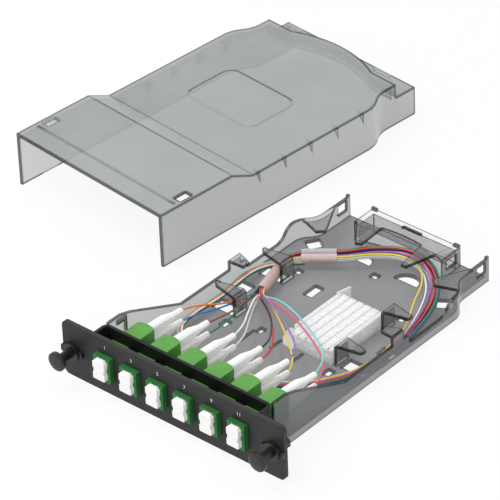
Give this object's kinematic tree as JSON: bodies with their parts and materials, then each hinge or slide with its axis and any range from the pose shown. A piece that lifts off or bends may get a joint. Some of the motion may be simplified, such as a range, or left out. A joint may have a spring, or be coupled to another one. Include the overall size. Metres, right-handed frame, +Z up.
{
  "type": "fibre cassette",
  "caption": "Flat fibre splice cassette: panel of duplex adapters with dust caps, smoked open tray with clipped coloured fibres, splice comb, push fasteners and a lifted cap cover",
  "frame": {"origin": "middle of the front panel's rear face, which seats on the rack's front", "axes": "+Y into the rack, away from the panel's rear face; +Z up, out of the tray's open top; +X along the panel, to the right seen from the front"},
  "size_m": [0.2498, 0.2825, 0.029],
  "materials": {
    "smoked_plastic": "clear smoked moulding",
    "panel_paint": "satin charcoal paint",
    "black_plastic": "moulded, satin",
    "green_plastic": "moulded, satin",
    "white_plastic": "moulded, satin",
    "frosted_plastic": "frosted moulding",
    "clear_sleeve": "thin clear tube",
    "fibre_orange": "coloured jacket",
    "fibre_blue": "coloured jacket",
    "fibre_brown": "coloured jacket",
    "fibre_green": "coloured jacket",
    "fibre_white": "coloured jacket",
    "fibre_pale_grey": "coloured jacket",
    "fibre_black": "coloured jacket",
    "fibre_red": "coloured jacket",
    "fibre_violet": "coloured jacket",
    "fibre_yellow": "coloured jacket",
    "fibre_aqua": "coloured jacket",
    "fibre_rose": "coloured jacket"
  },
  "bodies": {
    "tray_assembly": {"tray": "smoked_plastic", "front_panel": "panel_paint", "bulkhead_frame": "black_plastic", "adapter_1": "green_plastic", "connector_1_upper": "white_plastic", "connector_1_lower": "white_plastic", "adapter_2": "green_plastic", "connector_2_upper": "white_plastic", "connector_2_lower": "white_plastic", "adapter_3": "green_plastic", "connector_3_upper": "white_plastic", "connector_3_lower": "white_plastic", "adapter_4": "green_plastic", "connector_4_upper": "white_plastic", "connector_4_lower": "white_plastic", "adapter_5": "green_plastic", "connector_5_upper": "white_plastic", "connector_5_lower": "white_plastic", "adapter_6": "green_plastic", "connector_6_upper": "white_plastic", "connector_6_lower": "white_plastic", "fibre_1_upper": "fibre_orange", "fibre_1_lower": "fibre_blue", "fibre_2_upper": "fibre_brown", "fibre_2_lower": "fibre_green", "fibre_3_upper": "fibre_white", "fibre_3_lower": "fibre_pale_grey", "fibre_4_upper": "fibre_black", "fibre_4_lower": "fibre_red", "fibre_5_upper": "fibre_violet", "fibre_5_lower": "fibre_yellow", "fibre_6_upper": "fibre_aqua", "fibre_6_lower": "fibre_rose", "splice_holder": "frosted_plastic", "bundle_sleeve": "clear_sleeve", "rear_sleeve_outer": "clear_sleeve", "rear_sleeve_inner": "clear_sleeve", "grommet_left": "black_plastic", "grommet_right": "black_plastic"},
    "cover": {"cover": "smoked_plastic"},
    "dust_cap_1": {"dust_cap_1": "white_plastic"},
    "dust_cap_2": {"dust_cap_2": "white_plastic"},
    "dust_cap_3": {"dust_cap_3": "white_plastic"},
    "dust_cap_4": {"dust_cap_4": "white_plastic"},
    "dust_cap_5": {"dust_cap_5": "white_plastic"},
    "dust_cap_6": {"dust_cap_6": "white_plastic"},
    "plunger_left": {"plunger_left": "black_plastic"},
    "plunger_right": {"plunger_right": "black_plastic"}
  },
  "joints": [
    {"name": "cover_lift", "type": "slide", "parent": "tray_assembly", "child": "cover", "axis": [0, 0, 1], "range_m": [0, 0.06]},
    {"name": "dust_cap_1_pull", "type": "slide", "parent": "tray_assembly", "child": "dust_cap_1", "axis": [0, -1, 0], "range_m": [0, 0.012]},
    {"name": "dust_cap_2_pull", "type": "slide", "parent": "tray_assembly", "child": "dust_cap_2", "axis": [0, -1, 0], "range_m": [0, 0.012]},
    {"name": "dust_cap_3_pull", "type": "slide", "parent": "tray_assembly", "child": "dust_cap_3", "axis": [0, -1, 0], "range_m": [0, 0.012]},
    {"name": "dust_cap_4_pull", "type": "slide", "parent": "tray_assembly", "child": "dust_cap_4", "axis": [0, -1, 0], "range_m": [0, 0.012]},
    {"name": "dust_cap_5_pull", "type": "slide", "parent": "tray_assembly", "child": "dust_cap_5", "axis": [0, -1, 0], "range_m": [0, 0.012]},
    {"name": "dust_cap_6_pull", "type": "slide", "parent": "tray_assembly", "child": "dust_cap_6", "axis": [0, -1, 0], "range_m": [0, 0.012]},
    {"name": "plunger_left_push", "type": "slide", "parent": "tray_assembly", "child": "plunger_left", "axis": [0, 1, 0], "range_m": [0, 0.0074]},
    {"name": "plunger_right_push", "type": "slide", "parent": "tray_assembly", "child": "plunger_right", "axis": [0, 1, 0], "range_m": [0, 0.0074]}
  ]
}
